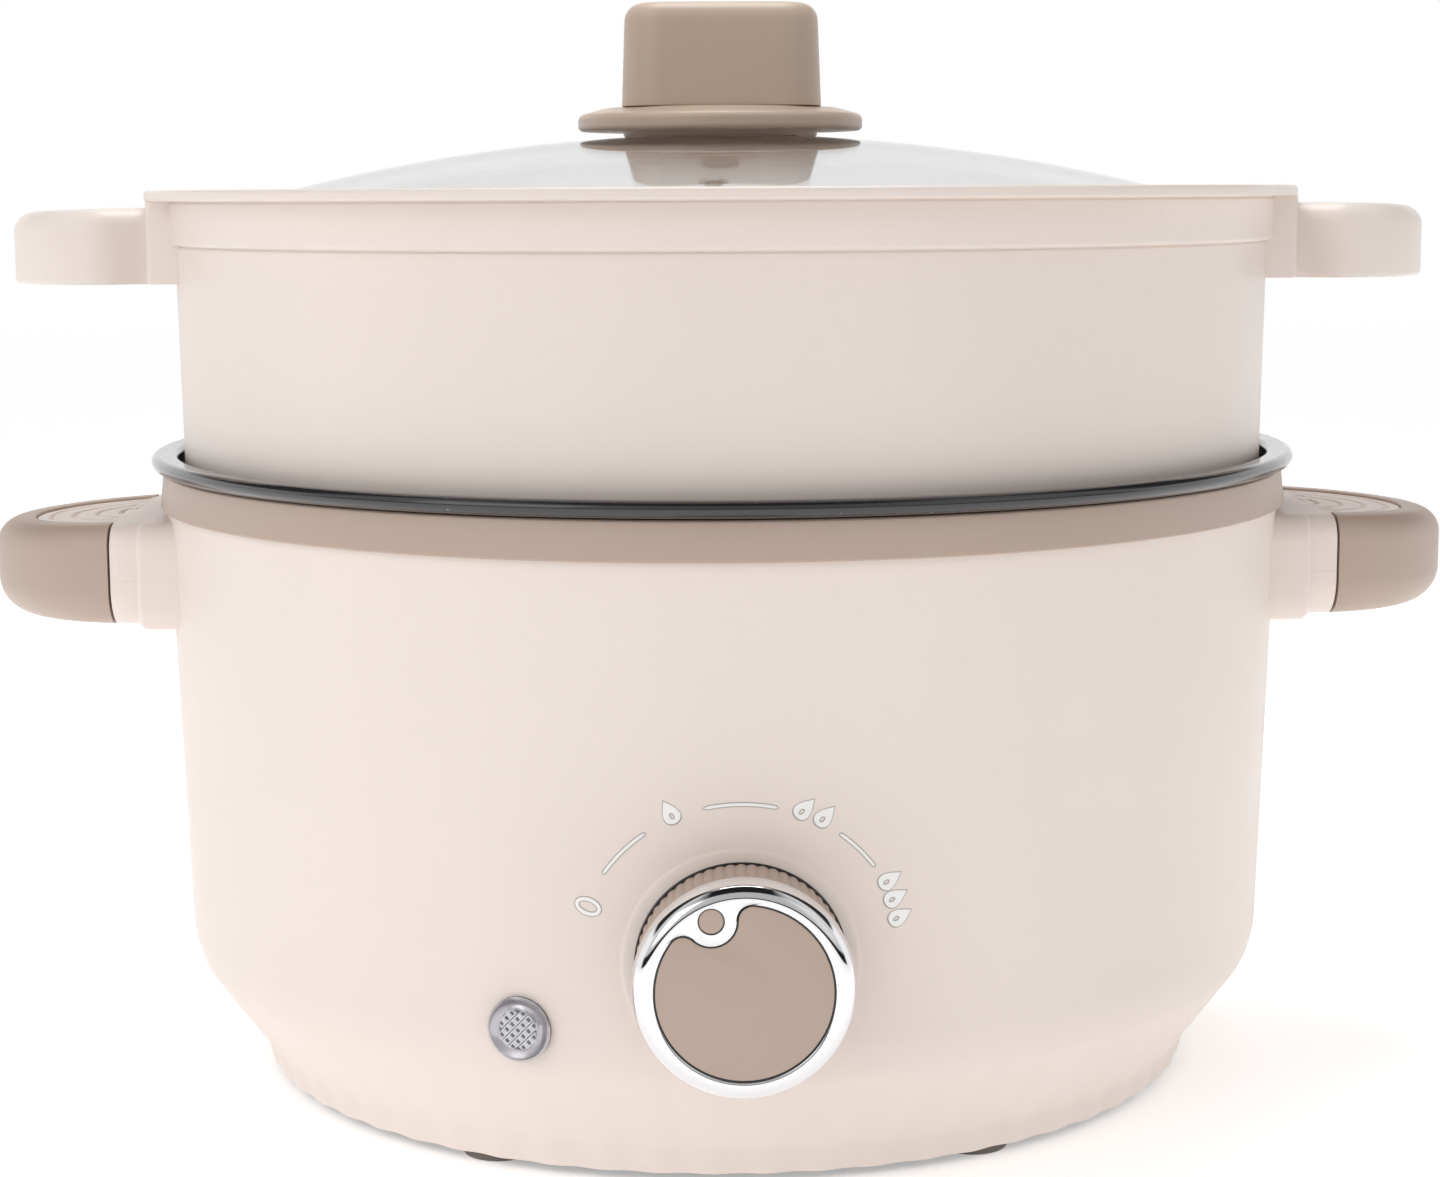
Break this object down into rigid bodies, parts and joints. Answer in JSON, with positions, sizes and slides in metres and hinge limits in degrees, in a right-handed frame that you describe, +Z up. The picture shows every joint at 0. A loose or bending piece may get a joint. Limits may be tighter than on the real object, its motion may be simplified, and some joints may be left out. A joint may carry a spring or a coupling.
{
  "type": "electric slow cooker",
  "caption": "Round countertop electric cooker with a front heat dial, a steamer basket stacked in the pot's mouth and a glass lid with a knob.",
  "frame": {"origin": "on the pot's axis, on the table that the feet stand on", "axes": "+Z up along the pot's axis; the dial faces -Y; the handles lie along X"},
  "size_m": [0.3852, 0.316, 0.2771],
  "materials": {
    "cream_plastic": "satin moulded polypropylene",
    "steamer_plastic": "smooth moulded polypropylene",
    "brown_plastic": "satin moulded plastic",
    "knob_plastic": "satin moulded phenolic",
    "non_stick": "speckled non-stick coating on pressed aluminium",
    "chrome": "bright plated",
    "clear_glass": "clear tempered glass",
    "clear_plastic": "clear moulded lens",
    "steel": "plain steel",
    "stainless": "polished stainless",
    "aluminium": "mill finish",
    "brass": "plain",
    "black_plastic": "fine moulded texture",
    "white_plastic": "moulded",
    "foot_rubber": "moulded",
    "silicone": "translucent grey",
    "wire_sleeve": "glass-fibre sleeve",
    "neon": "neon lamp glass"
  },
  "bodies": {
    "base": {"housing": "cream_plastic", "trim_ring": "brown_plastic", "inner_pot": "non_stick", "heating_element": "stainless", "heat_shield": "aluminium", "pot_studs": "steel", "stud_nuts": "steel", "shield_spacers": "steel", "base_plate": "black_plastic", "base_screws": "steel", "feet": "foot_rubber", "terminal_block": "white_plastic", "thermal_cutoff": "stainless", "wiring": "wire_sleeve", "thermostat_body": "steel", "thermostat_bracket": "steel", "thermostat_screws": "steel", "indicator_lens": "clear_plastic", "indicator_nut": "steel", "indicator_lamp": "neon", "power_inlet": "black_plastic", "inlet_pins": "brass", "inlet_screws": "steel", "handle_screws": "steel", "grip_screws": "steel", "handle_upper_left": "cream_plastic", "handle_upper_right": "cream_plastic", "handle_lower_left": "cream_plastic", "handle_lower_right": "cream_plastic", "grip_left": "brown_plastic", "grip_right": "brown_plastic"},
    "dial": {"dial_skirt": "brown_plastic", "chrome_bezel": "chrome", "dial_face": "brown_plastic", "pointer_dot": "brown_plastic", "thermostat_shaft": "brass", "shaft_clip": "steel"},
    "steamer": {"steamer_basket": "steamer_plastic"},
    "lid": {"lid_glass": "clear_glass", "lid_rim": "stainless", "vent_eyelet": "stainless", "lid_knob": "knob_plastic", "knob_base": "knob_plastic", "knob_gasket": "silicone", "knob_washer": "stainless", "knob_screw": "stainless"}
  },
  "joints": [
    {"name": "dial_turn", "type": "hinge", "parent": "base", "child": "dial", "pos_m": [0, -0.145, 0.058], "axis": [0, 1, 0], "range_deg": [-46, 93]},
    {"name": "steamer_lift", "type": "slide", "parent": "base", "child": "steamer", "axis": [0, 0, 1], "range_m": [0, 0.1]},
    {"name": "lid_lift", "type": "slide", "parent": "steamer", "child": "lid", "axis": [0, 0, 1], "range_m": [0, 0.1]}
  ]
}
